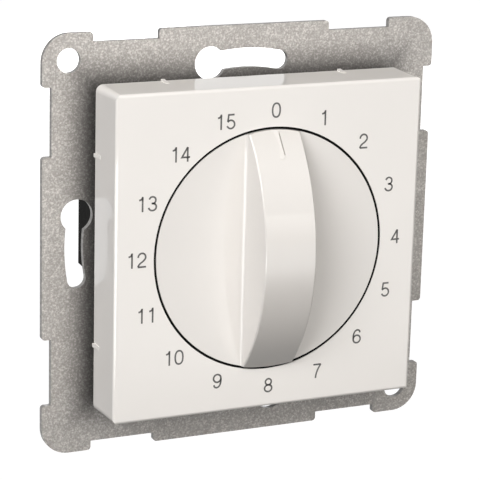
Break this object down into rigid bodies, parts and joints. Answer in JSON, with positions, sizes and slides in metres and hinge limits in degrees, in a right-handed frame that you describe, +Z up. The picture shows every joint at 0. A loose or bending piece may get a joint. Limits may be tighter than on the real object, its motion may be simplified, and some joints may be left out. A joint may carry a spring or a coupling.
{
  "type": "timer light switch",
  "caption": "Flush wall timer light switch: square off-white plate with a round grip knob over a clockwork insert on a notched steel mounting frame.",
  "frame": {"origin": "middle of the steel frame's rear face, which lies on the wall, on the knob's axis", "axes": "+Z up, +X to the right seen from the front, +Y into the wall; the knob faces -Y"},
  "size_m": [0.071, 0.0448, 0.071],
  "materials": {
    "zinc_sheet": "mottled zinc plating",
    "white_plastic": "glossy",
    "black_plastic": "satin",
    "plated_screws": "zinc plated",
    "brass": "bare",
    "bright_steel": "turned",
    "spring_steel": "tempered",
    "bronze_strip": "rolled",
    "silver_contact": "polished",
    "cam_plastic": "moulded"
  },
  "bodies": {
    "insert": {"mounting_frame": "zinc_sheet", "central_plate": "white_plastic", "guide_ring": "black_plastic", "housing_cover": "black_plastic", "housing_base": "black_plastic", "frame_screws": "plated_screws", "housing_screws": "plated_screws", "movement_screws": "plated_screws", "front_plate": "brass", "rear_plate": "brass", "pillars": "bright_steel", "pillar_nuts": "brass", "arbor_bush": "brass", "mainspring": "spring_steel", "spring_post": "bright_steel", "stop_pin": "bright_steel", "contact_leaf": "bronze_strip", "moving_contact": "silver_contact", "fixed_contact": "silver_contact", "terminal_clamps": "brass", "terminal_screws": "plated_screws"},
    "winding": {"knob": "white_plastic", "knob_clip": "spring_steel", "main_arbor": "bright_steel", "main_wheel": "brass", "clutch_washer": "spring_steel", "clutch_collar": "bright_steel", "switch_cam": "cam_plastic", "cam_clip": "spring_steel"},
    "second": {"second_arbor": "bright_steel", "second_wheel": "brass"},
    "third": {"third_arbor": "bright_steel", "third_wheel": "brass"},
    "escape": {"escape_arbor": "bright_steel", "escape_wheel": "brass"},
    "pallet": {"pallet_arbor": "bright_steel", "pallet_lever": "brass", "pallet_pins": "bright_steel"}
  },
  "joints": [
    {"name": "knob_turn", "type": "hinge", "parent": "insert", "child": "winding", "pos_m": [0, 0, 0], "axis": [0, 1, 0], "range_deg": [0, 337.5], "stiffness_Nm_per_rad": 0.003, "springref_deg": -57.3, "deforming": ["mainspring", "contact_leaf", "moving_contact"]},
    {"name": "second_wheel_spin", "type": "hinge", "parent": "insert", "child": "second", "pos_m": [0.00924, 0, -0.00336], "axis": [0, 1, 0], "range_deg": [-2030, 10]},
    {"name": "third_wheel_spin", "type": "hinge", "parent": "insert", "child": "third", "pos_m": [0.00985, 0, 0.00364], "axis": [0, 1, 0], "range_deg": [-10, 8110]},
    {"name": "escape_wheel_spin", "type": "hinge", "parent": "insert", "child": "escape", "pos_m": [0.00533, 0, 0.00903], "axis": [0, 1, 0], "range_deg": [-32410, 10]},
    {"name": "pallet_rock", "type": "hinge", "parent": "insert", "child": "pallet", "pos_m": [0.00003, 0, 0.00996], "axis": [0, 1, 0], "range_deg": [-6, 6]}
  ],
  "couplings": [
    {"joint": "second_wheel_spin", "follows": "knob_turn", "ratio": -6},
    {"joint": "third_wheel_spin", "follows": "knob_turn", "ratio": 24},
    {"joint": "escape_wheel_spin", "follows": "knob_turn", "ratio": -96}
  ]
}
